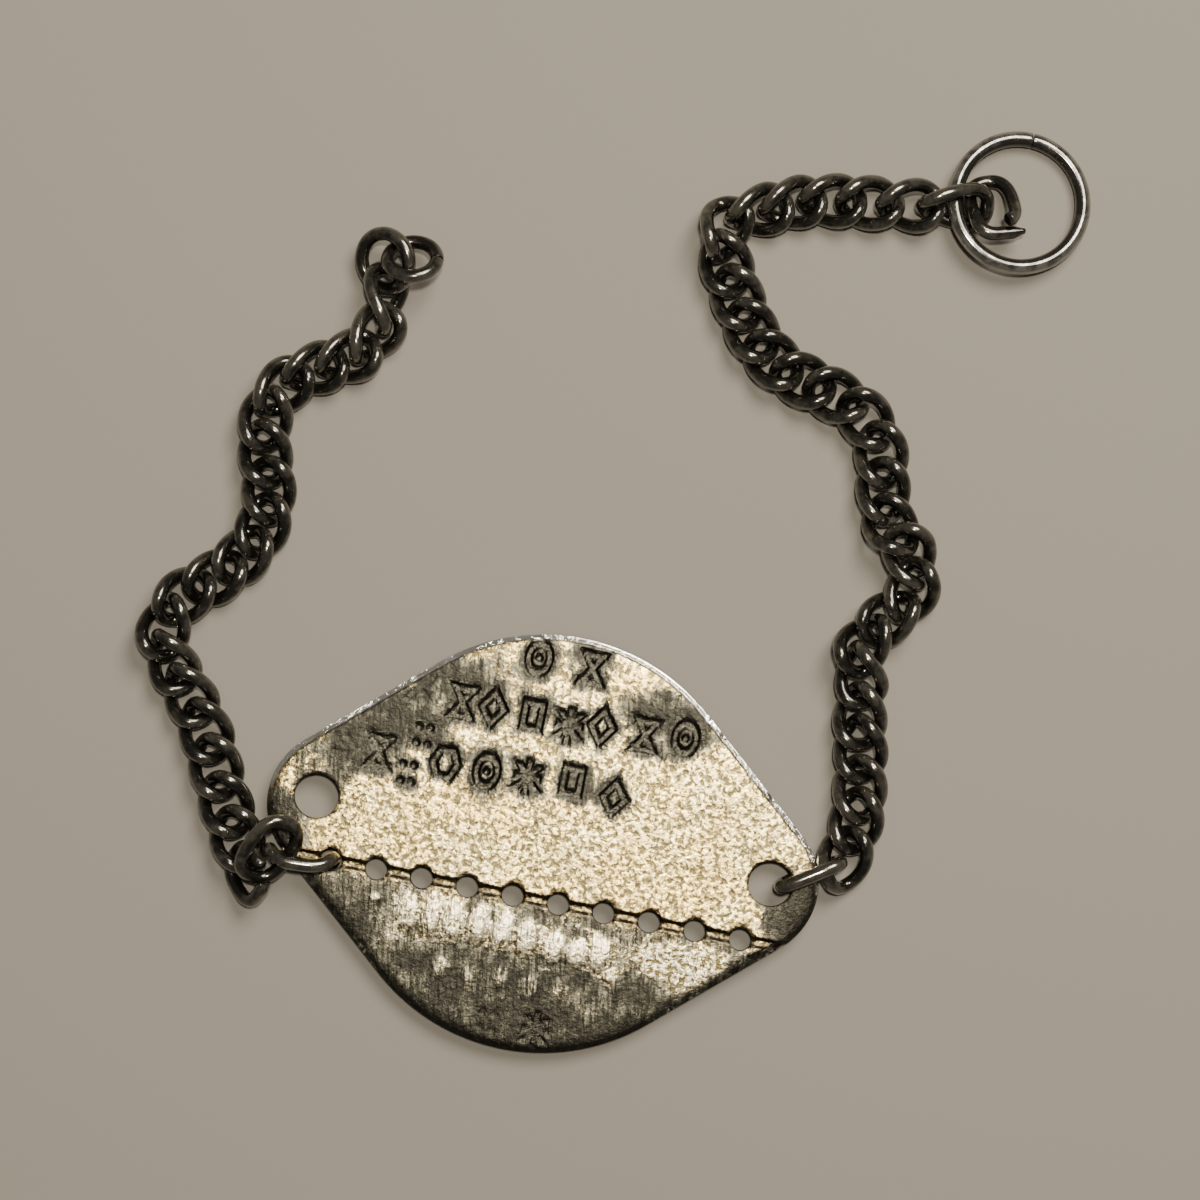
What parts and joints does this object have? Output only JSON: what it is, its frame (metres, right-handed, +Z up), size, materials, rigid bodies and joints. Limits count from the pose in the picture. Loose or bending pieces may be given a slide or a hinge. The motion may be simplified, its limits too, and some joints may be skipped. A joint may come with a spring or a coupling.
{
  "type": "dog tag bracelet",
  "caption": "Identity tag bracelet laid open: a lens-shaped scored metal tag between two curb chains, with jump rings at one end and a large ring and bent link at the other.",
  "frame": {"origin": "under the middle of the outline, on the surface the bracelet lies on", "axes": "+Z up from that surface, +X across from the left chain to the right chain, +Y from the tag towards the free ends"},
  "size_m": [0.0861, 0.083, 0.0062],
  "materials": {
    "tag_steel": "worn, scratched and tarnished sheet steel",
    "link_steel": "blackened steel wire, glossy",
    "chain_steel": "blackened steel wire, glossy",
    "ring_steel": "polished steel wire"
  },
  "bodies": {
    "root": {"tag": "tag_steel", "left_tag_link": "link_steel", "loop_link": "link_steel", "open_link": "link_steel", "left_chain": "chain_steel", "end_link": "chain_steel", "end_ring_one": "link_steel", "end_ring_two": "link_steel", "right_tag_link": "link_steel", "right_chain": "chain_steel", "ring_link": "chain_steel", "hook_link": "link_steel", "clasp_ring": "ring_steel"}
  },
  "joints": []
}
